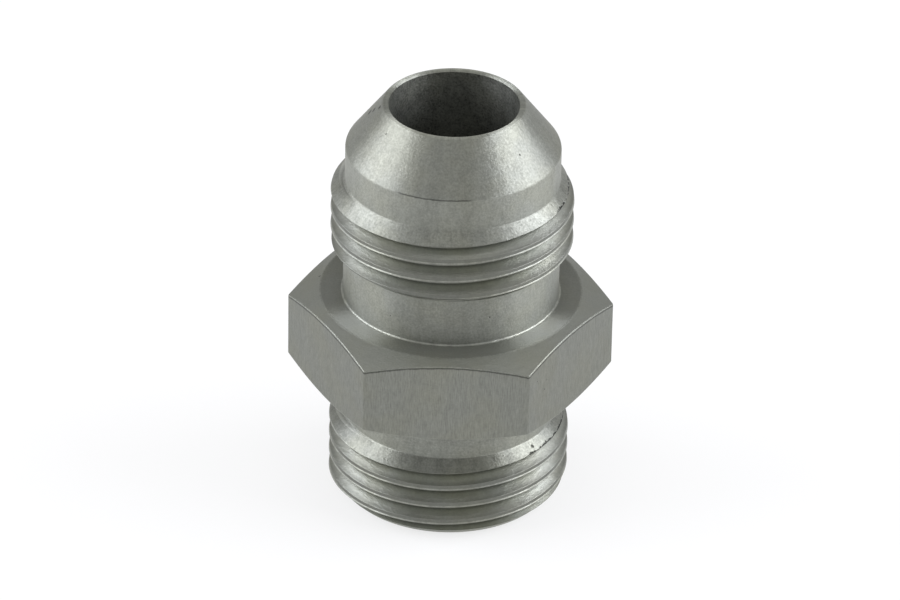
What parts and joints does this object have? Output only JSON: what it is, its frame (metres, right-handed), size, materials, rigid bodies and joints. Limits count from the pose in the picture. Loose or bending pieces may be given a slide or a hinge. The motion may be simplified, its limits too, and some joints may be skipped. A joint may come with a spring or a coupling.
{
  "type": "straight adapter fitting",
  "caption": "Straight hydraulic adapter turned from hexagon bar, with a 37 degree flared-tube end, a plain nose, a straight-thread port stud and a through bore.",
  "frame": {"origin": "centre of the port stud's end face, on the bore's axis", "axes": "+Z along the bore, from the port stud towards the flared-tube end; -Y and +Y out of two opposite flats of the hexagon, +X and -X out of two opposite corners"},
  "size_m": [0.0256, 0.0222, 0.0343],
  "materials": {
    "plated_steel": "satin grey plating over turned and drawn steel"
  },
  "bodies": {
    "root": {"adapter_body": "plated_steel"}
  },
  "joints": []
}
